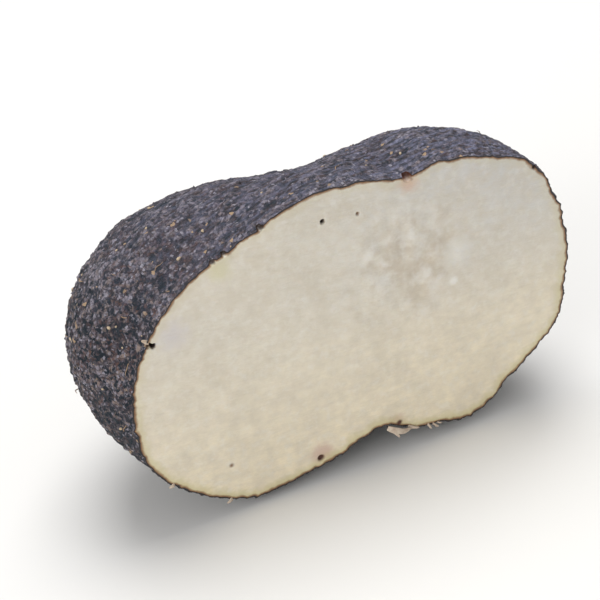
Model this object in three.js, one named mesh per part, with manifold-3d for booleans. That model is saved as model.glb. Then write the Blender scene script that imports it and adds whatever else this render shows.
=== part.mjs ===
// Half of a mountain yam, a knobbly round tuber cut across with a knife.
// It is one solid. The flat cut face looks along -Y, the grown end points along +Y,
// and the skin underneath touches down on one small flat spot at z = 0.
// Lengths are in millimetres, angles in degrees, and +Z is up.
import * as THREE from 'three';
import { mergeVertices } from 'three/addons/utils/BufferGeometryUtils.js';
import Module from 'manifold-3d';

const wasm = await Module();
wasm.setup();

// Driving dimensions
const CUT_WIDTH = 107;          // the cut face from end to end
const CUT_MIDDLE_HEIGHT = 38;   // the middle of the cut face above the surface, before it settles
const PRESSED_FLAT = 0.4;       // how much of the underside is pressed flat where it rests
const HALF_DEPTH = 52;          // from the cut face to the tip, without its lumps
const FATTEST_AT = 8;           // depth of the fattest section behind the cut
const BLUNTNESS = 2.1;          // 2 makes the profile an ellipse, and more makes the tip blunter
const LEAN_LEFT = 0.1;          // how far the core drifts sideways for each millimetre of depth
const LEAN_DOWN = 0.07;         // and how far it sinks
const OVAL_HALF_WIDTH = 54.5;   // half axes of the oval that the sections turn into
const OVAL_HALF_HEIGHT = 36.5;
const OVAL_FROM = 24;           // the dents of the cut's outline have faded out at this depth
const LUMPS_FROM = 16;          // lumps swell in over this depth, so that the cut keeps its outline

const FACES_AROUND = 84;
const SECTIONS = 26;            // from the cut to the tip

// The skin line of the cut face as (x, z), anticlockwise as seen from the front.
// It has two dents where lobes of the tuber meet: a deep one below and a slight one on top.
const CUT_OUTLINE = [
  [-53.5, 36.0], [-52.8, 24.5], [-47.6, 14.0], [-38.0, 6.1], [-30.0, 2.6], [-19.0, 3.1],
  [-10.5, 4.5], [-3.5, 7.2], [5.0, 8.7], [11.5, 5.3], [18.0, 4.0], [26.0, 2.9],
  [36.0, 9.0], [48.8, 19.2], [53.4, 34.0], [52.0, 53.0], [45.0, 64.6],
  [34.5, 69.3], [24.5, 71.4], [16.5, 70.6], [4.0, 73.1], [-10.0, 72.9],
  [-25.0, 67.4], [-39.0, 60.6], [-50.5, 47.3],
];

// Lobes and hollows of the skin: the way each one faces from the middle of the tuber,
// the angle over which it fades, and how far it stands out or sinks in.
const LUMPS = [
  { facing: [-0.94, 0.32, 0.12], reach: 34, rise: 4.2 },    // left lobe
  { facing: [-0.8, 0.45, 0.42], reach: 20, rise: 1.8 },     // left shoulder
  { facing: [0.76, 0.22, 0.62], reach: 26, rise: 3.5 },     // right shoulder
  { facing: [0.02, 0.62, 0.78], reach: 27, rise: -5.8 },    // saddle between the shoulders
  { facing: [-0.04, 0.31, -0.95], reach: 40, rise: 4.2 },   // belly that it rests on
  { facing: [0.9, 0.4, -0.15], reach: 26, rise: 2 },        // right lobe
  { facing: [-0.3, 0.92, 0.02], reach: 24, rise: 3 },       // knob at the tip
  { facing: [0.4, 0.8, -0.45], reach: 15, rise: -2.4 },     // hollow beside the knob
  { facing: [-0.55, 0.7, -0.46], reach: 12, rise: -1.8 },   // cleft under the left lobe
].map((lump) => ({ ...lump, facing: new THREE.Vector3(...lump.facing).normalize() }));

const MIDDLE = new THREE.Vector3(0, FATTEST_AT, CUT_MIDDLE_HEIGHT);

// A step from 0 to 1 that is level at both ends.
function smoothStep(amount) {
  return THREE.MathUtils.smoothstep(amount, 0, 1);
}

// Evenly spaced points of the cut's outline, from the middle of the cut face, as (x, z).
function cutOutline() {
  const corners = CUT_OUTLINE.map(([x, z]) => new THREE.Vector3(x, z, 0));
  const curve = new THREE.CatmullRomCurve3(corners, true, 'centripetal');
  const points = curve.getSpacedPoints(FACES_AROUND).slice(0, FACES_AROUND);
  const width = new THREE.Box3().setFromPoints(points).getSize(new THREE.Vector3()).x;
  const stretch = CUT_WIDTH / width;
  return points.map((p) => new THREE.Vector2(p.x * stretch, p.y - CUT_MIDDLE_HEIGHT));
}

// The point of the plain oval that lies the same way from the middle as the given one.
function onOval(point) {
  return point.clone().divideScalar(Math.hypot(point.x / OVAL_HALF_WIDTH, point.y / OVAL_HALF_HEIGHT));
}

// The depth of a section, and its size against the cut face.
// The profile is a blunt ellipse that starts a little in front of its fattest place.
function profile(section) {
  const reach = HALF_DEPTH - FATTEST_AT;
  const width = (depth) => (1 - Math.abs(depth / reach) ** BLUNTNESS) ** (1 / BLUNTNESS);
  const start = -Math.asin(FATTEST_AT / reach);
  const turn = THREE.MathUtils.lerp(start, Math.PI / 2, section / SECTIONS);
  const depth = reach * Math.sin(turn);
  return { y: FATTEST_AT + depth, size: width(depth) / width(-FATTEST_AT) };
}

// Pushes a point of the plain shape out or in by the lumps that are near it.
function addLumps(point) {
  const outward = point.clone().sub(MIDDLE).normalize();
  let rise = 0;
  for (const lump of LUMPS) {
    const angle = THREE.MathUtils.radToDeg(outward.angleTo(lump.facing));
    rise += lump.rise * Math.exp(-((angle / lump.reach) ** 2));
  }
  return point.addScaledVector(outward, rise * smoothStep(point.y / LUMPS_FROM));
}

// A place in a section, given from the section's core, as a point of the tuber.
function inSection(x, y, z) {
  return new THREE.Vector3(x - LEAN_LEFT * y, y, z + CUT_MIDDLE_HEIGHT - LEAN_DOWN * y);
}

// The closed half before it settles on the surface.
function tuberGeometry() {
  const outline = cutOutline();
  const points = [];
  for (let i = 0; i < SECTIONS; i += 1) {
    const { y, size } = profile(i);
    for (const edge of outline) {
      const place = edge.clone().lerp(onOval(edge), smoothStep(y / OVAL_FROM)).multiplyScalar(size);
      points.push(addLumps(inSection(place.x, y, place.y)));
    }
  }
  const tip = points.push(addLumps(inSection(0, HALF_DEPTH, 0))) - 1;

  const faces = THREE.ShapeUtils.triangulateShape(outline, []).flat();
  for (let k = 0; k < FACES_AROUND; k += 1) {
    const next = (k + 1) % FACES_AROUND;
    for (let front = 0; front < tip - FACES_AROUND; front += FACES_AROUND) {
      const back = front + FACES_AROUND;
      faces.push(front + k, back + k, back + next);
      faces.push(front + k, back + next, front + next);
    }
    faces.push(tip - FACES_AROUND + k, tip, tip - FACES_AROUND + next);
  }
  return new THREE.BufferGeometry().setFromPoints(points).setIndex(faces);
}

function solidOf(geometry) {
  geometry.deleteAttribute('normal');
  geometry.deleteAttribute('uv');
  const merged = mergeVertices(geometry);
  return new wasm.Manifold(new wasm.Mesh({
    numProp: 3,
    vertProperties: merged.attributes.position.array,
    triVerts: new Uint32Array(merged.index.array),
  }));
}

// The half with its underside cut level where it is pressed flat by its own weight,
// set down with the middle of its box over the origin.
function restingGeometry() {
  const block = new THREE.BoxGeometry(2 * CUT_WIDTH, 2 * CUT_WIDTH, CUT_WIDTH);
  block.translate(0, 0, PRESSED_FLAT - CUT_WIDTH / 2);
  const mesh = solidOf(tuberGeometry()).subtract(solidOf(block)).getMesh();

  const geometry = new THREE.BufferGeometry();
  geometry.setAttribute('position', new THREE.BufferAttribute(mesh.vertProperties, 3));
  geometry.setIndex(new THREE.BufferAttribute(mesh.triVerts, 1));
  geometry.computeBoundingBox();
  const centre = geometry.boundingBox.getCenter(new THREE.Vector3());
  geometry.translate(-centre.x, -centre.y, -geometry.boundingBox.min.z);
  geometry.computeVertexNormals();
  return geometry;
}

const skin = new THREE.MeshStandardMaterial({ color: 0x3a3130, roughness: 0.85, metalness: 0 });
const yamHalf = new THREE.Mesh(restingGeometry(), skin);
yamHalf.name = 'yam_half';

const part = new THREE.Group();
part.name = 'mountain_yam_half';
part.add(yamHalf);

export default part;
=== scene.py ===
# %% [markdown]
# # Half of a mountain yam
#
# A mountain yam is a round, knobbly tuber. Its skin is thin, nearly black and as rough as bark,
# and the flesh inside is dense, moist and cream white. This half was cut across with one stroke of
# a knife, and it rests on its skin with the cut face upright.
#
# The fixed frame gives the half's real size and place. The frame's own solid is smooth and plain,
# so this lesson makes a fine copy of it: it roughens the skin, cuts the face with a knife of its
# own, and gives skin and flesh their finishes.

# %% Load the fixed frame
import math
import random

import bpy
import numpy as np
from mathutils import Matrix, Quaternion, Vector, kdtree


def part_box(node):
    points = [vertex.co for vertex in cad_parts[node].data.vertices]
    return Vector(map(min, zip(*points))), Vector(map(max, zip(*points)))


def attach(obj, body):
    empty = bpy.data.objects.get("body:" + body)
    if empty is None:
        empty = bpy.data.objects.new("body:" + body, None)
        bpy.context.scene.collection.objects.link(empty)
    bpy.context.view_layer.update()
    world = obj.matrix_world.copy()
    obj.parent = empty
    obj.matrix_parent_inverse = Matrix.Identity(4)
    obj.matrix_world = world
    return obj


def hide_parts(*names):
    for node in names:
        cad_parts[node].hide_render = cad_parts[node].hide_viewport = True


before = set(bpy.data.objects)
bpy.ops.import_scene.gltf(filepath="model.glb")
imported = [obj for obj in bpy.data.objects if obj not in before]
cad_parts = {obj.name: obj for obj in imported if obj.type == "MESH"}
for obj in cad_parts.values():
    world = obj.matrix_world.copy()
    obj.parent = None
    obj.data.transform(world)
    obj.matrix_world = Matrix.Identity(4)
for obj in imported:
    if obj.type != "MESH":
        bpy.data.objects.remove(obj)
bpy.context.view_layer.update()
low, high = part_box("yam_half")
MM = 0.001
print("half yam, mm:", [round(side / MM, 1) for side in high - low])

# %% [markdown]
# ## Camera
#
# The half is seen from above its left-hand corner, from about half a metre away, through a long
# lens. From there both the cut face and a band of dark skin along the top and the left-hand end
# show. The camera is slightly tipped, which makes the half seem to climb to the right.
#
# A camera could be turned by angles. Here it gets a place, a point to look at and a direction that
# counts as up, because these three say directly what one wants to see.

# %% Camera
CAMERA_PLACE = Vector((-149, -416.7, 317.5)) * MM
CAMERA_AIM = Vector((-1.5, -6, 34)) * MM
CAMERA_UP = Vector((0.326, 0.496, 0.805))
CAMERA_LENS = 138  # millimetres

forward = (CAMERA_AIM - CAMERA_PLACE).normalized()
right = forward.cross(CAMERA_UP).normalized()
camera_turn = Matrix((right, right.cross(forward), -forward)).transposed()
bpy.ops.object.camera_add(location=CAMERA_PLACE, rotation=camera_turn.to_euler())
camera = bpy.context.object
camera.name = "camera"
camera.data.lens = CAMERA_LENS
bpy.context.scene.camera = camera
print("camera is", round((CAMERA_AIM - CAMERA_PLACE).length / MM), "mm from the half")

# %% [markdown]
# ## Helpers
#
# An operator works on everything that is selected, and loading leaves the frame's solid selected.
# So each step first says which object it means, and an edit first says which faces it means.

# %% Select, edit and apply
def only(*pieces):
    """Selects just these objects and makes the first one active."""
    bpy.ops.object.select_all(action="DESELECT")
    for piece in pieces:
        piece.select_set(True)
    bpy.context.view_layer.objects.active = pieces[0]


def edit_faces(piece, wanted):
    """Goes into edit mode with just the wanted faces selected."""
    only(piece)
    bpy.ops.object.mode_set(mode="EDIT")
    bpy.context.tool_settings.mesh_select_mode = (False, False, True)
    bpy.ops.mesh.select_all(action="DESELECT")
    bpy.ops.object.mode_set(mode="OBJECT")
    chosen = [face for face in piece.data.polygons if wanted(face)]
    for face in chosen:
        face.select = True
    bpy.ops.object.mode_set(mode="EDIT")
    return len(chosen)


def finish_edit():
    bpy.ops.object.mode_set(mode="OBJECT")


def apply_modifier(piece, modifier):
    only(piece)
    bpy.ops.object.modifier_apply(modifier=modifier.name)


# %% [markdown]
# ## The body
#
# The body is a copy of the frame's solid, so that it has exactly the right size and place. The
# frame's solid is loose triangles, so the copy's corners are merged first. Its cut face is then
# drawn forward a little, past the place where the knife will go: like this the rough skin is
# cut through cleanly, and its outline on the cut face is as rough as the skin itself.
#
# A voxel remesh turns the copy into even, small faces. They need to be about half a millimetre
# wide, because the grains of the skin are one to two millimetres wide.

# %% Copy the frame's solid
SAME_PLACE = 0.01 * MM
PAST_THE_KNIFE = 4 * MM
cut_y = low.y

yam = bpy.data.objects.new("mountain_yam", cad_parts["yam_half"].data.copy())
bpy.context.scene.collection.objects.link(yam)
yam.data.materials.clear()
edit_faces(yam, lambda face: True)
bpy.ops.mesh.remove_doubles(threshold=SAME_PLACE)
finish_edit()
cut_faces = edit_faces(yam, lambda face: face.normal.y < -0.99 and face.center.y < cut_y + SAME_PLACE)
bpy.ops.mesh.extrude_region_move(TRANSFORM_OT_translate={"value": (0, -PAST_THE_KNIFE, 0)})
finish_edit()
print("drew", cut_faces, "faces of the cut forward")

# %% Remesh it finely
FACE_SIZE = 0.56 * MM

remesh = yam.modifiers.new("even_faces", "REMESH")
remesh.mode = "VOXEL"
remesh.voxel_size = FACE_SIZE
apply_modifier(yam, remesh)
print("faces after the remesh:", len(yam.data.polygons))

# %% [markdown]
# ## The skin's relief
#
# The skin of this yam is built of sizes inside sizes: soft dents a centimetre or more wide, uneven
# ground of about four millimetres, cork flakes of one to two millimetres with cracks between them,
# and grit on the flakes. Each size is one displace modifier with a procedural texture.
#
# All of this could be faked with bump in the material, but then the silhouette and the line where
# the knife meets the skin would be smooth. So all but the finest grit is real shape.
#
# Along the top the flakes give way to fine wrinkles that run along the ridge. A vertex group holds
# how much of a place belongs to the ridge, and the flakes and cracks use the same group inverted.

# %% Read the vertices and weigh them
def vertex_places(piece):
    """The piece's vertices as rows of x, y and z."""
    places = np.empty(len(piece.data.vertices) * 3)
    piece.data.vertices.foreach_get("co", places)
    return places.reshape(-1, 3)


def weigh(piece, title, weights):
    """A vertex group that says how strongly each vertex takes part in a change, from 0 to 1."""
    group = piece.vertex_groups.new(name=title)
    for index in np.flatnonzero(weights > 0):
        group.add([int(index)], float(weights[index]), "REPLACE")


# %% Where the wrinkled band is
RIDGE_FROM = 52 * MM
RIDGE_FULL = 66 * MM

smooth_places = vertex_places(yam)
on_ridge = np.clip((smooth_places[:, 2] - RIDGE_FROM) / (RIDGE_FULL - RIDGE_FROM), 0, 1)
weigh(yam, "ridge", on_ridge)
print("vertices in the wrinkled band:", int((on_ridge > 0).sum()))


# %% How a texture moves the surface
def displace(piece, title, kind, size, strength, group="", invert=False, follow=None, **settings):
    """Moves the surface in and out by a texture with features of about this size."""
    texture = bpy.data.textures.new(title, kind)
    texture.noise_scale = size
    for name, value in settings.items():
        setattr(texture, name, value)
    modifier = piece.modifiers.new(title, "DISPLACE")
    modifier.texture = texture
    modifier.texture_coords = "OBJECT" if follow else "LOCAL"
    modifier.texture_coords_object = follow
    modifier.strength = strength
    modifier.vertex_group = group
    modifier.invert_vertex_group = invert
    apply_modifier(piece, modifier)
    bpy.data.textures.remove(texture)


# %% Dents, ground, flakes, cracks and grit
displace(yam, "soft_dents", "CLOUDS", size=13 * MM, strength=1.3 * MM, noise_depth=1)
displace(yam, "uneven_ground", "CLOUDS", size=4.2 * MM, strength=1.0 * MM, noise_depth=2)
displace(yam, "cork_flakes", "VORONOI", size=1.5 * MM, strength=-0.66 * MM,
         group="ridge", invert=True, noise_intensity=1.2)
displace(yam, "cracks", "CLOUDS", size=3 * MM, strength=-0.3 * MM,
         group="ridge", invert=True, noise_basis="VORONOI_CRACKLE")
displace(yam, "grit", "CLOUDS", size=1.1 * MM, strength=0.44 * MM, noise_type="HARD_NOISE", noise_depth=2)
moved = np.linalg.norm(vertex_places(yam) - smooth_places, axis=1)
print("skin moved by up to", round(moved.max() / MM, 2), "mm")

# %% [markdown]
# The wrinkles use the same kind of texture as the grit, but read through an object that is stretched
# along the ridge, and so each grain becomes a long fold.

# %% Wrinkles along the ridge
RIDGE_TURN = math.radians(12)
RIDGE_STRETCH = (6, 1.2, 1)

stretcher = bpy.data.objects.new("stretcher", None)
bpy.context.scene.collection.objects.link(stretcher)
stretcher.scale = RIDGE_STRETCH
stretcher.rotation_euler = (0, 0, RIDGE_TURN)
bpy.context.view_layer.update()
displace(yam, "folds", "CLOUDS", size=1.3 * MM, strength=0.7 * MM,
         group="ridge", follow=stretcher, noise_depth=1)
bpy.data.objects.remove(stretcher)
print("folds run", round(math.degrees(RIDGE_TURN)), "degrees off the cut face")

# %% [markdown]
# The half's own weight presses its underside flat where it rests, so whatever the relief pushed
# below the surface is pressed back up to it.

# %% Press the underside flat
below = vertex_places(yam)[:, 2] < 0
for vertex in yam.data.vertices:
    if below[vertex.index]:
        vertex.co.z = 0
print("vertices pressed flat:", int(below.sum()))

# %% [markdown]
# ## The cut
#
# A knife leaves a face that is nearly flat. Moist flesh drags on the blade, so the face has long
# shallow waves and tiny tears, and towards the upper right a patch of it is a little lumpy. A
# rootlet or a worm leaves a dark hole, and small notches break the edge.
#
# The cut is made with a boolean: a block stands in front of the body, and the side of it that
# touches the body is the cut face in reverse. That side is a fine grid, so that it can be given
# the waves and pits before it cuts. Around each pit the grid is divided further.

# %% The knife block
CUT_GRID = 0.85 * MM
BLOCK_DEPTH = 14 * MM
MARGIN = 6 * MM

block_width = high.x - low.x + 2 * MARGIN
block_height = high.z - low.z + 2 * MARGIN
bpy.ops.object.select_all(action="DESELECT")
bpy.ops.mesh.primitive_grid_add(
    x_subdivisions=round(block_width / CUT_GRID),
    y_subdivisions=round(block_height / CUT_GRID),
    size=1,
    location=((low.x + high.x) / 2, cut_y, (low.z + high.z) / 2),
    rotation=(math.radians(90), 0, 0),
)
knife = bpy.context.object
knife.name = "knife_block"
knife.scale = (block_width, block_height, 1)
bpy.ops.object.transform_apply(location=True, rotation=True, scale=True)
print("grid of the cut:", len(knife.data.polygons), "faces")

# %% Where the pits are
PITS = {  # x, z, radius and depth in millimetres
    "worm_hole": (-43.1, 50.0, 0.7, 1.8),
    "worm_hole_mouth": (-44.0, 50.5, 0.7, 1.2),
    "root_hole": (-1.7, 65.9, 0.7, 1.0),
    "small_root_hole": (6.4, 65.0, 0.5, 0.4),
    "red_spot": (-9.4, 6.1, 1.0, 0.7),
    "red_notch": (18.8, 69.8, 1.25, 2.0),
    "dark_nick": (-15.9, 69.6, 0.9, 1.5),
    "ragged_nick": (-27.4, 65.3, 1.0, 1.1),
    "ragged_nick_2": (-24.5, 66.2, 0.8, 1.1),
    "right_nick": (53.2, 55.4, 0.7, 0.9),
    "upper_right_nick": (49.0, 61.8, 0.6, 0.8),
}
FINER_CUTS = 4


def away_from(places, x, z):
    """How far each place is from a point of the cut face, in millimetres, seen from the front."""
    return np.hypot(places[:, 0] / MM - x, places[:, 2] / MM - z)


def near_a_pit(face):
    """Says whether a face of the grid takes part in a pit."""
    centre = np.array([face.center])
    return any(away_from(centre, x, z)[0] < radius + CUT_GRID / MM for x, z, radius, _ in PITS.values())


finer_faces = edit_faces(knife, near_a_pit)
bpy.ops.mesh.subdivide(number_cuts=FINER_CUTS)
finish_edit()
print("divided", finer_faces, "faces of the grid further")

# %% Waves, tears, lumps and pits
LUMPY_PLACE = (16, 50)  # x and z in millimetres
LUMPY_RADIUS = 22
LUMPY_FADES_AT = 1.3  # of the radius
PIT_STEEPNESS = 1.25  # over 1, so that a pit has a flat bottom

grid_places = vertex_places(knife)
lumpiness = np.clip(LUMPY_FADES_AT - away_from(grid_places, *LUMPY_PLACE) / LUMPY_RADIUS, 0, 1)
weigh(knife, "lumpy", lumpiness)
displace(knife, "blade_waves", "CLOUDS", size=16 * MM, strength=0.8 * MM, noise_depth=0)
displace(knife, "torn_flesh", "CLOUDS", size=2.4 * MM, strength=0.2 * MM, noise_depth=2)
displace(knife, "lumps", "CLOUDS", size=4.5 * MM, strength=1.1 * MM, group="lumpy", noise_depth=1)
for title, (x, z, radius, depth) in PITS.items():
    hollow = 1 - (away_from(grid_places, x, z) / radius) ** 2
    weigh(knife, title, np.clip(PIT_STEEPNESS * hollow, 0, 1))
    pit = knife.modifiers.new(title, "DISPLACE")
    pit.direction = "Y"
    pit.mid_level = 0
    pit.strength = depth * MM
    pit.vertex_group = title
    apply_modifier(knife, pit)
print("pits:", len(PITS))

# %% Make it a block
edit_faces(knife, lambda face: True)
bpy.ops.mesh.extrude_region_move(TRANSFORM_OT_translate={"value": (0, -BLOCK_DEPTH, 0)})
bpy.ops.mesh.select_all(action="SELECT")
bpy.ops.mesh.normals_make_consistent(inside=False)
finish_edit()
print("faces of the knife block:", len(knife.data.polygons))

# %% Cut
skin_material = bpy.data.materials.new("cork_skin")
flesh_material = bpy.data.materials.new("cream_flesh")
yam.data.materials.append(skin_material)
knife.data.materials.append(flesh_material)

cut = yam.modifiers.new("knife_cut", "BOOLEAN")
cut.operation = "DIFFERENCE"
cut.solver = "EXACT"
cut.material_mode = "TRANSFER"
cut.object = knife
apply_modifier(yam, cut)
bpy.data.objects.remove(knife)
flesh_slot = yam.data.materials.find("cream_flesh")
flesh_faces = [face for face in yam.data.polygons if face.material_index == flesh_slot]
print("faces of the whole half:", len(yam.data.polygons), "and of the cut face:", len(flesh_faces))

# %% [markdown]
# ## What the finishes need to know
#
# Two things about the shape steer the colours. The first is relief: grains that stand out are painted
# a pale purple grey and the cracks between them almost black, partly the skin's own worn flakes and
# dark cracks, partly painted light and shade. It is measured as how far each vertex stands out of a
# smoothed copy of the surface. The second is the distance from the skin line on the cut face, where
# the flesh turns greenish yellow and then into brown cork.
#
# Both are kept as attributes of the mesh, so the pattern sits on the shape wherever it is seen from.

# %% Read the normals and keep a number for each vertex
def vertex_normals(piece):
    """The piece's vertex normals as rows of x, y and z."""
    normals = np.empty(len(piece.data.vertices) * 3)
    piece.data.vertex_normals.foreach_get("vector", normals)
    return normals.reshape(-1, 3)


def store(piece, title, values):
    """Keeps one number for each vertex under a name that a material can read."""
    layer = piece.data.attributes.new(title, "FLOAT", "POINT")
    layer.data.foreach_set("value", np.asarray(values, np.float32))


# %% Measure the relief
SMOOTHING_ROUNDS = 12
USUAL_PERCENTILE = 85

places = vertex_places(yam)
normals = vertex_normals(yam)
ends = np.empty(len(yam.data.edges) * 2, np.int32)
yam.data.edges.foreach_get("vertices", ends)
ends = ends.reshape(-1, 2)
neighbours = np.bincount(ends.ravel(), minlength=len(places))[:, None]
smoothed = places.copy()
for _ in range(SMOOTHING_ROUNDS):
    total = np.zeros_like(smoothed)
    np.add.at(total, ends[:, 0], smoothed[ends[:, 1]])
    np.add.at(total, ends[:, 1], smoothed[ends[:, 0]])
    smoothed = total / neighbours
relief = np.einsum("ij,ij->i", places - smoothed, normals)
usual_relief = np.percentile(np.abs(relief), USUAL_PERCENTILE)
store(yam, "relief", np.clip(relief / usual_relief, -1, 1))
print("usual relief:", round(usual_relief / MM, 2), "mm")

# %% Measure the distance from the skin line
touches = {0: set(), flesh_slot: set()}
for face in yam.data.polygons:
    touches[face.material_index].update(face.vertices)
skin_line = sorted(touches[0] & touches[flesh_slot])
line_finder = kdtree.KDTree(len(skin_line))
for index in skin_line:
    line_finder.insert(places[index], index)
line_finder.balance()
from_line = np.zeros(len(places))
for index in touches[flesh_slot]:
    _, _, distance = line_finder.find(places[index])
    from_line[index] = distance / MM
store(yam, "from_line", from_line)
print("corners along the skin line:", len(skin_line))

# %% [markdown]
# ## Building blocks of the finishes
#
# Three patterns are used again and again, so each is a node group with named inputs. Grain is a
# soft irregular mask of any size. Flakes are closed cells with an edge and a shade of their own,
# like bits of cork. A stain is one round mark on the cut face, with a slightly ragged outline.
#
# All of them read object coordinates in metres, so the same size means the same on every piece. A
# stain leaves out the depth, because the waves of the cut would shift it.

# %% Node helpers
def add_node(tree, kind, settings=None, **inputs):
    """Adds a node, sets its options, and feeds its inputs (i0 is the first) with values or sockets."""
    node = tree.nodes.new("ShaderNode" + kind)
    for name, value in (settings or {}).items():
        setattr(node, name, value)
    for name, value in inputs.items():
        socket = node.inputs[int(name[1:])] if name[1:].isdigit() else node.inputs[name]
        if isinstance(value, bpy.types.NodeSocket):
            tree.links.new(value, socket)
        else:
            socket.default_value = value
    return node


def new_group(title, inputs, outputs):
    """A node group with named inputs, as name and usual value, and named outputs."""
    group = bpy.data.node_groups.new(title, "ShaderNodeTree")
    for name, value in inputs.items():
        kind = "NodeSocketVector" if isinstance(value, tuple) else "NodeSocketFloat"
        group.interface.new_socket(name, in_out="INPUT", socket_type=kind).default_value = value
    for name in outputs:
        group.interface.new_socket(name, in_out="OUTPUT", socket_type="NodeSocketFloat")
    return group, group.nodes.new("NodeGroupInput").outputs, group.nodes.new("NodeGroupOutput").inputs


def in_grains(group, given):
    """Object coordinates counted in grains of the group's Size, moved along by its Shift."""
    where = add_node(group, "TexCoord").outputs["Object"]
    grains = add_node(group, "Math", {"operation": "DIVIDE"}, i0=1.0, i1=given["Size"]).outputs[0]
    counted = add_node(group, "VectorMath", {"operation": "SCALE"}, i0=where, Scale=grains).outputs[0]
    return add_node(group, "VectorMath", {"operation": "ADD"}, i0=counted, i1=given["Shift"]).outputs[0]


# %% The grain group
grain_group, given, gives = new_group(
    "grain",
    {"Size": 0.001, "Shift": 0.0, "Stretch": (1, 1, 1), "Turn": (0, 0, 0), "From": 0.3, "To": 0.7},
    ["Mask"],
)
turned = add_node(grain_group, "VectorRotate", {"rotation_type": "EULER_XYZ", "invert": True},
                  Vector=in_grains(grain_group, given), Rotation=given["Turn"])
stretched = add_node(grain_group, "VectorMath", {"operation": "DIVIDE"},
                     i0=turned.outputs[0], i1=given["Stretch"])
noise = add_node(grain_group, "TexNoise", Vector=stretched.outputs[0], Scale=1.0, Detail=3.0, Roughness=0.6)
mask = add_node(grain_group, "MapRange", Value=noise.outputs[0], i1=given["From"], i2=given["To"])
grain_group.links.new(mask.outputs[0], gives["Mask"])
print("grain group has", len(grain_group.nodes), "nodes")

# %% The flakes group
WARP = 0.35

flakes_group, given, gives = new_group("flakes", {"Size": 0.001, "Shift": 0.0}, ["Shade", "Middle"])
counted = in_grains(flakes_group, given)
wobble = add_node(flakes_group, "TexNoise", Vector=counted, Scale=1.4, Detail=2.0).outputs["Color"]
warped = add_node(flakes_group, "VectorMath", {"operation": "MULTIPLY_ADD"},
                  i0=wobble, i1=(WARP,) * 3, i2=counted).outputs[0]
cells = add_node(flakes_group, "TexVoronoi", Vector=warped, Scale=1.0)
edges = add_node(flakes_group, "TexVoronoi", {"feature": "DISTANCE_TO_EDGE"}, Vector=warped, Scale=1.0)
shade = add_node(flakes_group, "SeparateColor", Color=cells.outputs["Color"]).outputs[0]
middle = add_node(flakes_group, "MapRange", Value=edges.outputs["Distance"], i1=0.02, i2=0.16).outputs[0]
flakes_group.links.new(shade, gives["Shade"])
flakes_group.links.new(middle, gives["Middle"])
print("flakes group has", len(flakes_group.nodes), "nodes")

# %% The stain group
stain_group, given, gives = new_group(
    "stain", {"Place": (0, 0, 0), "Radius": 0.001, "Fade": 0.0005, "Size": 0.0014, "Shift": 0.0}, ["Mask"]
)
where = add_node(stain_group, "TexCoord").outputs["Object"]
from_front = add_node(stain_group, "VectorMath", {"operation": "MULTIPLY"}, i0=where, i1=(1, 0, 1)).outputs[0]
away = add_node(stain_group, "VectorMath", {"operation": "DISTANCE"},
                i0=from_front, i1=given["Place"]).outputs["Value"]
ragged = add_node(stain_group, "TexNoise", Vector=in_grains(stain_group, given), Scale=1.0).outputs[0]
ragged = add_node(stain_group, "MapRange", Value=ragged, i1=0.0, i2=1.0, i3=0.6, i4=1.4).outputs[0]
away = add_node(stain_group, "Math", {"operation": "MULTIPLY"}, i0=away, i1=ragged).outputs[0]
rim = add_node(stain_group, "Math", {"operation": "ADD"}, i0=given["Radius"], i1=given["Fade"]).outputs[0]
mask = add_node(stain_group, "MapRange", {"interpolation_type": "SMOOTHSTEP"},
                Value=away, i1=given["Radius"], i2=rim, i3=1.0, i4=0.0)
stain_group.links.new(mask.outputs[0], gives["Mask"])
print("stain group has", len(stain_group.nodes), "nodes")


# %% Put a group into a material
def start_material(material):
    """The material's node tree and its shader."""
    material.use_nodes = True
    return material.node_tree, material.node_tree.nodes["Principled BSDF"]


def use_group(tree, group, **inputs):
    """Puts a group into a material and sets its inputs."""
    node = tree.nodes.new("ShaderNodeGroup")
    node.node_tree = group
    for name, value in inputs.items():
        node.inputs[name].default_value = value
    return node.outputs


def grain(tree, size, start=0.3, end=0.7, shift=0.0, stretch=(1, 1, 1), turn=0.0):
    """A mask of irregular grains about this many millimetres wide, turned about the upright axis."""
    return use_group(tree, grain_group, Size=size * MM, From=start, To=end, Shift=shift,
                     Stretch=stretch, Turn=(0, 0, turn))["Mask"]


# %% Join masks and colours
def colour(value):
    """A colour as a node wants it, or the socket that gives one."""
    return value if isinstance(value, bpy.types.NodeSocket) else (*value, 1)


def paint(tree, below, mask, above):
    """Lays one colour over another where the mask is 1."""
    node = add_node(tree, "Mix", {"data_type": "RGBA"}, i0=mask, i6=colour(below), i7=colour(above))
    return node.outputs[2]


def combine(tree, operation, first, second):
    """Two masks or numbers joined by arithmetic, kept between 0 and 1."""
    return add_node(tree, "Math", {"operation": operation, "use_clamp": True}, i0=first, i1=second).outputs[0]


def remap(tree, value, start, end, low_end=0.0, high_end=1.0):
    """Turns a range of a value into a mask, or into another range."""
    return add_node(tree, "MapRange", Value=value, i1=start, i2=end, i3=low_end, i4=high_end).outputs[0]


# %% Read the piece
def attribute(tree, title):
    """One of the numbers kept for each vertex."""
    return add_node(tree, "Attribute", {"attribute_name": title}).outputs["Fac"]


def along(tree, axis, start, end):
    """A mask that grows from 0 to 1 between two places on an axis, in millimetres."""
    where = add_node(tree, "TexCoord").outputs["Object"]
    return remap(tree, add_node(tree, "SeparateXYZ", Vector=where).outputs[axis], start * MM, end * MM)
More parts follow.
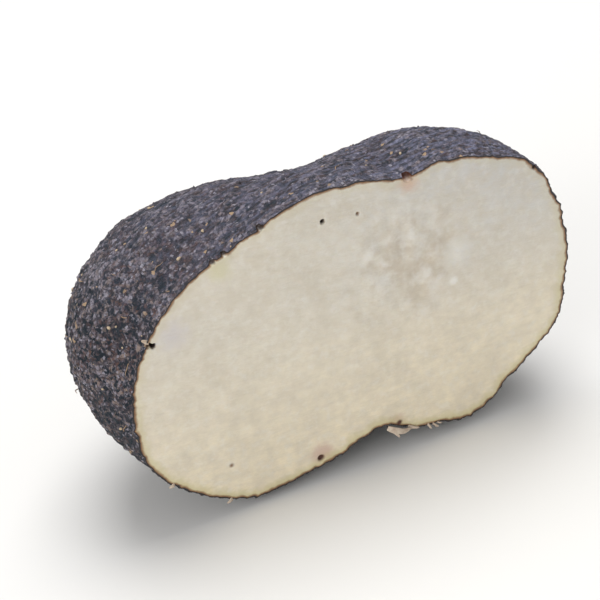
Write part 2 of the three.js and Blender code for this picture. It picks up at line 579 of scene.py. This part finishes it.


# %% [markdown]
# ## The skin's finish
#
# Cork skin isn't one colour. Its cracks are blue black, its ground is a purple brown, worn flakes are
# a light purple grey, and here and there a flake shows reddish brown or tan. Large and small flakes,
# the measured relief, soft patches and the left-hand end are added up to one lightness, which a ramp
# turns into these colours; the relief and the left-hand end bring in painted light and shade. Brown
# and blue black patches, rust and beige are then laid over it.
#
# Along the ridge pale streaks are laid on, most of all on the right: partly pale wrinkles of the skin,
# partly a painted highlight of the light from above. Low down the skin is painted darkest, as painted
# shade.

# %% A colour that runs through several
def ramp(tree, value, stops):
    """A colour that runs through the stops, each a position and a colour, from 0 to 1."""
    node = add_node(tree, "ValToRGB", Fac=value)
    node.color_ramp.elements[0].color = colour(stops[0][1])
    node.color_ramp.elements[1].color = colour(stops[-1][1])
    for position, shade in stops[1:-1]:
        node.color_ramp.elements.new(position).color = colour(shade)
    return node.outputs["Color"]


# %% Skin colours
CORK_SHADES = [
    (0.0, (0.003, 0.01, 0.017)),
    (0.3, (0.009, 0.018, 0.029)),
    (0.5, (0.043, 0.034, 0.046)),
    (0.66, (0.112, 0.1, 0.12)),
    (0.82, (0.235, 0.215, 0.255)),
    (1.0, (0.42, 0.39, 0.45)),
]
CRACK = (0.006, 0.014, 0.023)
BLUE_BLACK = (0.012, 0.022, 0.032)
BROWN = (0.085, 0.049, 0.05)
RUST = (0.125, 0.063, 0.047)
BEIGE = (0.25, 0.19, 0.165)
TAN = (0.4, 0.28, 0.18)
RIDGE_GREY_AND_HIGHLIGHT = (0.2, 0.205, 0.305)
PALE_DOT = (0.3, 0.285, 0.335)

print("cork shades:", len(CORK_SHADES))

# %% How light each place of the skin is
tree, shader = start_material(skin_material)
large = use_group(tree, flakes_group, Size=1.3 * MM, Shift=3.0)
small = use_group(tree, flakes_group, Size=0.7 * MM, Shift=8.0)
# The relief makes raised grains lighter and hollows darker: partly the skin's own colour, partly painted
# light and shade.
stands_out = remap(tree, attribute(tree, "relief"), -1, 1)
on_top = along(tree, "Z", 50, 67)
low_painted_shade = along(tree, "Z", 36, 10)
# The left-hand end is painted lighter, as painted light falling from the left.
left_end_painted_light = along(tree, "X", -34, -54)
lightness = combine(tree, "MULTIPLY", large["Shade"], 0.4)
patches = combine(tree, "ADD", combine(tree, "MULTIPLY", grain(tree, 7), 0.4),
                  combine(tree, "MULTIPLY", grain(tree, 3.2, 0.36, 0.64, shift=50), 0.6))
for part, share in ((small["Shade"], 0.42), (stands_out, 0.28), (patches, 0.27), (left_end_painted_light, 0.14)):
    lightness = combine(tree, "ADD", lightness, combine(tree, "MULTIPLY", part, share))
# Low down the skin is painted darker, as painted shade.
lightness = combine(tree, "SUBTRACT", lightness, remap(tree, low_painted_shade, 0, 1, 0.14, 0.34))
skin_colour = ramp(tree, lightness, CORK_SHADES)
print("nodes for the lightness:", len(tree.nodes))

# %% Brown, blue black, rust and beige in the skin
brown_parts = combine(tree, "MULTIPLY", grain(tree, 13, 0.44, 0.6, shift=31), 0.6)
brown_parts = combine(tree, "MULTIPLY", brown_parts, grain(tree, 1.6, 0.4, 0.6, shift=27))
skin_colour = paint(tree, skin_colour, brown_parts, BROWN)
# Painted shade: low down the skin is also painted blue black.
skin_colour = paint(tree, skin_colour, combine(tree, "MULTIPLY", low_painted_shade, 0.55), BLUE_BLACK)
less_on_top = remap(tree, on_top, 0, 1, 0.95, 0.4)
dark_patches = combine(tree, "MULTIPLY", grain(tree, 2.7, 0.52, 0.64, shift=60), 0.8)
skin_colour = paint(tree, skin_colour, combine(tree, "MULTIPLY", dark_patches, less_on_top), BLUE_BLACK)
rusty = combine(tree, "MULTIPLY", grain(tree, 1.1, 0.5, 0.62, shift=7), grain(tree, 9, 0.34, 0.58, shift=2))
skin_colour = paint(tree, skin_colour, combine(tree, "MULTIPLY", rusty, less_on_top), RUST)
beige = combine(tree, "MULTIPLY", grain(tree, 1.4, 0.5, 0.6, shift=40), remap(tree, lightness, 0.5, 0.75))
skin_colour = paint(tree, skin_colour, combine(tree, "MULTIPLY", beige, less_on_top), BEIGE)
print("nodes with the patches:", len(tree.nodes))

# %% Streaks, cracks and pale flakes in the skin
# Pale streaks along the ridge, strongest on the right: partly pale wrinkles of the skin, partly a painted
# highlight of the light from above.
streaks = grain(tree, 0.75, 0.42, 0.66, shift=5, stretch=(7, 1.3, 1), turn=RIDGE_TURN)
to_the_right = remap(tree, along(tree, "X", -35, 30), 0, 1, 0.35, 1.0)
streaks = combine(tree, "MULTIPLY", streaks, combine(tree, "MULTIPLY", on_top, to_the_right))
skin_colour = paint(tree, skin_colour, streaks, RIDGE_GREY_AND_HIGHLIGHT)
gaps = combine(tree, "MULTIPLY", remap(tree, large["Middle"], 1, 0), remap(tree, on_top, 0, 1, 0.5, 0.3))
skin_colour = paint(tree, skin_colour, gaps, CRACK)
specks = combine(tree, "MULTIPLY", grain(tree, 1.25, 0.49, 0.43, shift=14), less_on_top)
skin_colour = paint(tree, skin_colour, specks, CRACK)
tan_flakes = remap(tree, use_group(tree, flakes_group, Size=0.8 * MM, Shift=21.0)["Shade"], 0.99, 0.995)
skin_colour = paint(tree, skin_colour, tan_flakes, TAN)
dots = remap(tree, use_group(tree, flakes_group, Size=0.55 * MM, Shift=33.0)["Shade"], 0.93, 0.99)
dots = combine(tree, "MULTIPLY", dots, remap(tree, lightness, 0.3, 0.6))
skin_colour = paint(tree, skin_colour, dots, PALE_DOT)
print("nodes with the streaks, cracks and flakes:", len(tree.nodes))

# %% Connect the skin
SKIN_BUMP = 0.3 * MM

tree.links.new(skin_colour, shader.inputs["Base Color"])
tree.links.new(remap(tree, lightness, 0.2, 0.9, 0.62, 0.85), shader.inputs["Roughness"])
fine_height = combine(tree, "ADD", combine(tree, "MULTIPLY", small["Middle"], 0.5),
                      combine(tree, "MULTIPLY", grain(tree, 0.35, 0.2, 0.8), 0.5))
skin_bump = add_node(tree, "Bump", Height=fine_height, Strength=0.8, Distance=SKIN_BUMP)
tree.links.new(skin_bump.outputs[0], shader.inputs["Normal"])
shader.inputs["Specular IOR Level"].default_value = 0.35
print("skin finish has", len(tree.nodes), "nodes")

# %% [markdown]
# ## The flesh's finish
#
# The flesh is cream white, a little yellow towards the bottom and cooler towards the upper right,
# with soft clouding and faint streaks where the blade dragged. Towards the bottom it is also painted
# brighter, as painted bounce light from the floor, and the lumpy patch gets painted shadows and
# painted light on its lumps. It is moist and lets some light in, so it gets a little subsurface
# scattering. Close to the skin it turns greenish yellow, then brown, and the skin itself shows as a
# thin dark line.

# %% Flesh colours
CREAM = (0.745, 0.697, 0.6)
WARM_CREAM_AND_BOUNCE_LIGHT = (0.91, 0.795, 0.57)
COOL_CREAM = (0.605, 0.597, 0.582)
CLOUDED = (0.62, 0.555, 0.445)
LUMP_SHADOW_COLOUR = (0.56, 0.48, 0.375)
LIGHT_FLECK = (0.83, 0.81, 0.75)
WHITISH = (0.8, 0.775, 0.72)
RIM_YELLOW = (0.60, 0.53, 0.28)
RIM_BROWN = (0.27, 0.14, 0.065)
SKIN_LINE = (0.018, 0.015, 0.016)

print("the flesh goes from", CREAM, "to", WARM_CREAM_AND_BOUNCE_LIGHT, "and", COOL_CREAM)

# %% Warm and cool flesh, clouds and streaks
tree, shader = start_material(flesh_material)
# Warmer and brighter towards the bottom: partly the flesh's own yellow, partly painted bounce light from the
# floor.
flesh_colour = paint(tree, CREAM, combine(tree, "MULTIPLY", along(tree, "Z", 48, 6), 0.85), WARM_CREAM_AND_BOUNCE_LIGHT)
cool = combine(tree, "MULTIPLY", along(tree, "Z", 32, 66), along(tree, "X", -15, 45))
flesh_colour = paint(tree, flesh_colour, cool, COOL_CREAM)
clouding = combine(tree, "MULTIPLY", grain(tree, 6, 0.38, 0.7), 0.42)
flesh_colour = paint(tree, flesh_colour, clouding, CLOUDED)
mottling = combine(tree, "MULTIPLY", grain(tree, 2.8, 0.38, 0.7, shift=12), 0.42)
flesh_colour = paint(tree, flesh_colour, mottling, CLOUDED)
dragged = grain(tree, 0.8, 0.4, 0.7, shift=6, stretch=(6, 1, 1.3))
flesh_colour = paint(tree, flesh_colour, combine(tree, "MULTIPLY", dragged, 0.27), CLOUDED)
flecks = combine(tree, "MULTIPLY", grain(tree, 1.8, 0.5, 0.85, shift=4), 0.5)
flesh_colour = paint(tree, flesh_colour, flecks, LIGHT_FLECK)
print("nodes for clouds and streaks:", len(tree.nodes))

# %% Painted light and shade on the lumpy patch of the flesh
LUMPY_CORE = 5 * MM
LUMPY_FADE = 15 * MM

lumpy_x, lumpy_z = LUMPY_PLACE
lumpy_patch = use_group(tree, stain_group, Place=(lumpy_x * MM, 0, lumpy_z * MM),
                        Radius=LUMPY_CORE, Fade=LUMPY_FADE)["Mask"]
lump_light_and_shade = combine(tree, "MULTIPLY", lumpy_patch, 0.65)
# Painted shadows in warm brown and painted light in whitish blotches, as the shading of the lumps of the cut
# face.
lump_painted_shadow = combine(tree, "MULTIPLY", grain(tree, 6, 0.43, 0.6, shift=17), lump_light_and_shade)
flesh_colour = paint(tree, flesh_colour, lump_painted_shadow, LUMP_SHADOW_COLOUR)
lump_painted_light = combine(tree, "MULTIPLY", grain(tree, 5, 0.48, 0.66, shift=23), lump_light_and_shade)
flesh_colour = paint(tree, flesh_colour, lump_painted_light, WHITISH)
print("nodes with the lumpy patch:", len(tree.nodes))

# %% Where the stains and holes are
HOLE_DARK = (0.03, 0.016, 0.012)
HOLE_RED = (0.1, 0.035, 0.022)
ROOT_BROWN = (0.24, 0.15, 0.09)
BLUSH = (0.65, 0.49, 0.39)
LILAC = (0.67, 0.625, 0.59)
GREEN_YELLOW = (0.68, 0.635, 0.46)
PALE_CREAM = (0.735, 0.705, 0.635)
SOFT_STAINS = [  # x, z, radius and fade in millimetres, and the colour
    (-38.5, 50.8, 0.5, 5.0, LILAC),
    (-26.0, 62.6, 0.8, 3.2, GREEN_YELLOW),
    (18.8, 68.4, 0.5, 3.0, BLUSH),
    (-9.0, 7.3, 1.0, 2.8, BLUSH),
    (9.5, 8.2, 0.6, 2.6, BLUSH),
    (6.4, 65.0, 0.15, 0.5, ROOT_BROWN),
    (-30.5, 13.0, 0.1, 0.7, ROOT_BROWN),
    (27.0, 40.5, 0.3, 1.2, WHITISH),
    (29.0, 47.3, 0.5, 5.0, PALE_CREAM),
]
HOLES = [  # the same, and laid over the rim
    (-1.7, 65.9, 0.35, 0.35, HOLE_DARK),
    (-43.1, 50.0, 0.5, 0.3, HOLE_DARK),
    (-44.0, 50.5, 0.3, 0.5, HOLE_RED),
    (-9.4, 6.1, 0.55, 0.5, HOLE_RED),
    (18.8, 69.8, 0.7, 0.8, HOLE_RED),
    (10.5, 7.9, 0.3, 0.8, HOLE_RED),
    (-15.9, 69.6, 0.6, 0.5, HOLE_DARK),
    (-27.4, 65.3, 0.6, 0.5, HOLE_DARK),
    (-24.5, 66.2, 0.5, 0.5, HOLE_DARK),
    (53.2, 55.4, 0.35, 0.4, HOLE_DARK),
    (49.0, 61.8, 0.25, 0.35, HOLE_DARK),
]
print("soft stains:", len(SOFT_STAINS), "and holes:", len(HOLES))


# %% Lay on the soft stains
def stained(tree, below, stains):
    """Lays all the stains over a colour, each with a ragged outline of its own."""
    for number, (x, z, radius, fade, stain_colour) in enumerate(stains):
        mask = use_group(tree, stain_group, Place=(x * MM, 0, z * MM), Radius=radius * MM,
                         Fade=fade * MM, Shift=number)["Mask"]
        below = paint(tree, below, mask, stain_colour)
    return below


flesh_colour = stained(tree, flesh_colour, SOFT_STAINS)
print("nodes with the soft stains:", len(tree.nodes))

# %% Rim and holes of the flesh
uneven = remap(tree, grain(tree, 3, 0.25, 0.75, shift=9), 0, 1, 0.5, 1.5)
line = add_node(tree, "Math", {"operation": "DIVIDE"}, i0=attribute(tree, "from_line"), i1=uneven).outputs[0]
stronger_below = remap(tree, along(tree, "Z", 55, 12), 0, 1, 0.25, 0.9)
yellow_rim = combine(tree, "MULTIPLY", remap(tree, line, 2.8, 0.5), stronger_below)
flesh_colour = paint(tree, flesh_colour, yellow_rim, RIM_YELLOW)
flesh_colour = paint(tree, flesh_colour, remap(tree, line, 0.9, 0.45), RIM_BROWN)
flesh_colour = paint(tree, flesh_colour, remap(tree, line, 0.4, 0.24), SKIN_LINE)
flesh_colour = stained(tree, flesh_colour, HOLES)
print("nodes with the rim and holes:", len(tree.nodes))

# %% Connect the flesh
FLESH_BUMP = 0.15 * MM

tree.links.new(flesh_colour, shader.inputs["Base Color"])
tree.links.new(remap(tree, grain(tree, 3.5), 0, 1, 0.42, 0.6), shader.inputs["Roughness"])
flesh_bump = add_node(tree, "Bump", Height=dragged, Strength=0.4, Distance=FLESH_BUMP)
tree.links.new(flesh_bump.outputs[0], shader.inputs["Normal"])
shader.inputs["Subsurface Weight"].default_value = 0.25
shader.inputs["Subsurface Radius"].default_value = (1.0, 0.75, 0.45)
shader.inputs["Subsurface Scale"].default_value = 1.2 * MM
print("flesh finish has", len(tree.nodes), "nodes")

# %% Say what the half is
SMOOTH_UP_TO = math.radians(60)

only(yam)
bpy.ops.object.shade_smooth_by_angle(angle=SMOOTH_UP_TO)
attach(yam, "root")
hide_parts("yam_half")
print(yam.name, "stands for yam_half")

# %% [markdown]
# ## Threads and ribbons
#
# Thin things are left on the half: dry rootlets, torn shreds of skin and flesh. Each is a curve with
# a round section, widened to a ribbon where it's a shred. It is thickest near its foot and grows
# thinner towards its tip.

# %% Make a thread
TIP = 0.3  # of the full thickness
THREAD_WELD = 0.002 * MM


def thread(title, points, thickness, half_width=0.0):
    """A closed thread through the points, all in millimetres, or a ribbon if it has a width."""
    curve = bpy.data.curves.new(title, "CURVE")
    curve.dimensions = "3D"
    curve.twist_mode = "Z_UP"
    curve.resolution_u = 3
    curve.bevel_depth = thickness * MM
    curve.bevel_resolution = 1
    curve.extrude = half_width * MM
    curve.use_fill_caps = True
    spline = curve.splines.new("NURBS")
    spline.points.add(len(points) - 1)
    spline.order_u = 3
    spline.use_endpoint_u = True
    for number, (point, place) in enumerate(zip(spline.points, points)):
        point.co = (*(Vector(place) * MM), 1)
        from_foot = number / (len(points) - 1)
        swelling = math.sin(math.pi * (0.25 + 0.75 * from_foot))  # most at a third of the way
        point.radius = TIP + (1 - TIP) * swelling
    piece = bpy.data.objects.new(title, curve)
    bpy.context.scene.collection.objects.link(piece)
    only(piece)
    bpy.ops.object.convert(target="MESH")
    edit_faces(piece, lambda face: True)
    bpy.ops.mesh.remove_doubles(threshold=THREAD_WELD)
    bpy.ops.mesh.normals_make_consistent(inside=False)
    finish_edit()
    return piece


# %% Join pieces and give them a dull finish
def join(title, pieces, material):
    """Makes one piece of several, at the origin, and says what it is."""
    only(*pieces)
    bpy.ops.object.transform_apply(location=True, rotation=True, scale=True)
    bpy.ops.object.join()
    whole = bpy.context.object
    whole.name = title
    whole.data.name = title
    whole.data.materials.clear()
    whole.data.materials.append(material)
    bpy.ops.object.shade_smooth_by_angle(angle=SMOOTH_UP_TO)
    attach(whole, "root")
    print(title, "has", len(whole.data.polygons), "faces")
    return whole


def mottled(title, size, first, second):
    """A dull material that varies between two colours."""
    material = bpy.data.materials.new(title)
    tree, shader = start_material(material)
    tree.links.new(paint(tree, first, grain(tree, size), second), shader.inputs["Base Color"])
    shader.inputs["Roughness"].default_value = 0.7
    return material


# %% [markdown]
# ## Torn shreds
#
# The blade tore a shred loose under the dent at the bottom edge and left a fringe beside it. A small
# flap curls up at the worm hole, and two tips of skin stick out at the lower left.

# %% Where the shreds are
FACE = cut_y / MM

SHREDS = {  # the places they run through, their thickness and half their width, in millimetres
    "hanging_shred": (
        [(7.5, FACE + 0.3, 7.4), (9, FACE - 0.6, 6.6), (11, FACE - 0.8, 5.6), (13.2, FACE, 5.2)], 0.2, 0.7
    ),
    "second_shred": ([(8.5, FACE + 0.6, 6.6), (9.6, FACE - 0.3, 5.2), (9.8, FACE - 0.5, 4.4)], 0.2, 0.45),
    "third_shred": ([(12.6, FACE + 0.5, 5.8), (14, FACE - 0.3, 5), (15, FACE - 0.2, 4.9)], 0.2, 0.35),
    "curled_flap": ([(-43.9, FACE + 0.3, 51), (-44.4, FACE - 0.5, 51.7), (-45.3, FACE + 0.2, 52)], 0.18, 0.5),
    "left_tip": ([(-43.8, FACE + 0.2, 13.6), (-44.6, FACE - 0.3, 13.1), (-45.3, FACE, 13)], 0.2, 0.4),
    "lower_tip": ([(-31.5, FACE + 0.2, 4.1), (-32.2, FACE - 0.3, 3.6), (-32.9, FACE, 3.4)], 0.2, 0.4),
    "fringe_1": ([(17.4, FACE + 0.5, 4.6), (17.8, FACE - 0.4, 3.9), (18, FACE - 0.4, 3.4)], 0.22, 0.15),
    "fringe_2": ([(18.5, FACE + 0.5, 4.4), (19.2, FACE - 0.4, 3.7), (19.7, FACE - 0.3, 3.4)], 0.2, 0.2),
    "fringe_3": ([(19.7, FACE + 0.5, 4.2), (20.3, FACE - 0.3, 3.9), (20.8, FACE - 0.2, 3.9)], 0.18, 0.1),
}

# %% Make the shreds
shreds = [thread(title, *measures) for title, measures in SHREDS.items()]
torn_material = mottled("torn_flesh", 1.2, (0.42, 0.31, 0.23), (0.66, 0.57, 0.46))
torn_shreds = join("torn_shreds", shreds, torn_material)
displace(torn_shreds, "tattered", "CLOUDS", size=0.9 * MM, strength=0.35 * MM)

# %% [markdown]
# ## Rootlets, stubs and grains
#
# Fine dry rootlets, dark stubs where roots broke off, and pale grains of cork are strewn over the
# skin. Two of each are modelled, and copies of them are set at random places of the skin with a
# turn and a size of their own. None is set on the underside or right at the cut.

# %% Where copies may be set
CLEAR_OF_CUT = 1.5 * MM
CLEAR_OF_FLOOR = 2 * MM
UNDERSIDE = -0.55  # a place that faces further down than this is left out

behind_cut = places[:, 1] > cut_y + CLEAR_OF_CUT
off_floor = (normals[:, 2] > UNDERSIDE) & (places[:, 2] > CLEAR_OF_FLOOR)
clear_places = [int(index) for index in np.flatnonzero(behind_cut & off_floor)]
print("places that may hold a copy:", len(clear_places))

# %% Strew copies over the skin
dice = random.Random(41)


def strew(originals, count, smallest, largest, sink):
    """Sets copies of the originals on the skin, sunk into it by some millimetres."""
    copies = []
    for _ in range(count):
        index = dice.choice(clear_places)
        outward = Vector(normals[index])
        only(dice.choice(originals))
        bpy.ops.object.duplicate(linked=False)
        copy = bpy.context.object
        copy.location = Vector(places[index]) - outward * sink * MM
        copy.rotation_mode = "QUATERNION"
        spin = Quaternion((0, 0, 1), dice.uniform(0, math.tau))
        copy.rotation_quaternion = outward.to_track_quat("Z", "Y") @ spin
        copy.scale = [dice.uniform(smallest, largest)] * 3
        copies.append(copy)
    for original in originals:
        bpy.data.objects.remove(original)
    return copies


# %% Rootlets
ROOTLETS = 36
LONG_ROOTLET = [(0, 0, -0.4), (0.2, 0, 0.4), (1.2, 0.3, 0.5), (2.4, -0.2, 0.2), (3.4, 0, 0.1)]
SHORT_ROOTLET = [(0, 0, -0.4), (0.1, 0.1, 0.4), (0.6, 0.4, 0.7), (1.3, 0.5, 0.5)]

rootlet_shapes = [thread("long_rootlet", LONG_ROOTLET, 0.11), thread("short_rootlet", SHORT_ROOTLET, 0.12)]
rootlets = strew(rootlet_shapes, ROOTLETS, smallest=0.6, largest=1.2, sink=0.1)
join("rootlets", rootlets, mottled("dry_root", 1.5, (0.2, 0.12, 0.075), (0.46, 0.32, 0.2)))

# %% Root stubs
STUBS = 70
STRAIGHT_STUB = [(0, 0, -0.3), (0, 0, 0.2), (0.1, 0, 0.5)]
BENT_STUB = [(0, 0, -0.3), (0.1, 0, 0.25), (0.4, 0.1, 0.45)]

stub_shapes = [thread("straight_stub", STRAIGHT_STUB, 0.36), thread("bent_stub", BENT_STUB, 0.3)]
join("root_stubs", strew(stub_shapes, STUBS, smallest=0.6, largest=1.2, sink=0.05), skin_material)

# %% Pale grains
GRAINS = 60
GRAIN_RADIUS = 0.5 * MM
UNEVEN_BY = 0.35 * MM

grain_shapes = []
for uneven_size in (0.5 * MM, 0.8 * MM):
    bpy.ops.object.select_all(action="DESELECT")
    bpy.ops.mesh.primitive_ico_sphere_add(subdivisions=2, radius=GRAIN_RADIUS)
    shape = bpy.context.object
    shape.scale = (1, 0.75, 0.6)
    bpy.ops.object.transform_apply(location=False, rotation=False, scale=True)
    displace(shape, "uneven_grain", "CLOUDS", size=uneven_size, strength=UNEVEN_BY)
    grain_shapes.append(shape)
pale_grains = strew(grain_shapes, GRAINS, smallest=0.4, largest=1.25, sink=0.1)
join("pale_grains", pale_grains, mottled("pale_cork", 0.8, (0.36, 0.27, 0.18), (0.62, 0.5, 0.34)))

# %% [markdown]
# ## Floor and light
#
# The half stands on a plain pale floor. The light is that of a bright room with white walls: soft
# from all sides, with one large lamp overhead and a little behind, that picks out the skin along
# the top, and a weaker one low in front and to the left, for the cut face and the left-hand end.

# %% Floor
FLOOR_SIDE = 4
FLOOR_COLOUR = (0.86, 0.85, 0.83)

bpy.ops.object.select_all(action="DESELECT")
bpy.ops.mesh.primitive_plane_add(size=FLOOR_SIDE)
floor = bpy.context.object
floor.name = "floor"
floor_material = bpy.data.materials.new("pale_floor")
tree, shader = start_material(floor_material)
shader.inputs["Base Color"].default_value = colour(FLOOR_COLOUR)
shader.inputs["Roughness"].default_value = 0.7
floor.data.materials.append(floor_material)
print("floor is", FLOOR_SIDE, "metres wide")


# %% Lamps
def lamp(title, place, size, watts):
    """A square lamp that looks at the half."""
    turn = (CAMERA_AIM - Vector(place)).to_track_quat("-Z", "Y").to_euler()
    bpy.ops.object.light_add(type="AREA", location=place, rotation=turn)
    light = bpy.context.object
    light.name = title
    light.data.shape = "SQUARE"
    light.data.size = size
    light.data.energy = watts
    print(title, "gives", watts, "W")


lamp("overhead", place=(0.12, 0.24, 0.85), size=0.6, watts=6.3)
lamp("front_left", place=(-0.85, -0.5, 0.35), size=0.8, watts=5.6)

# %% White room
ROOM_STRENGTH = 0.41

world = bpy.data.worlds.new("white_room")
bpy.context.scene.world = world
world.use_nodes = True
background = world.node_tree.nodes["Background"]
background.inputs["Color"].default_value = (1, 1, 1, 1)
background.inputs["Strength"].default_value = ROOM_STRENGTH
bpy.context.scene.view_settings.view_transform = "Standard"
print("the room's light has strength", ROOM_STRENGTH)
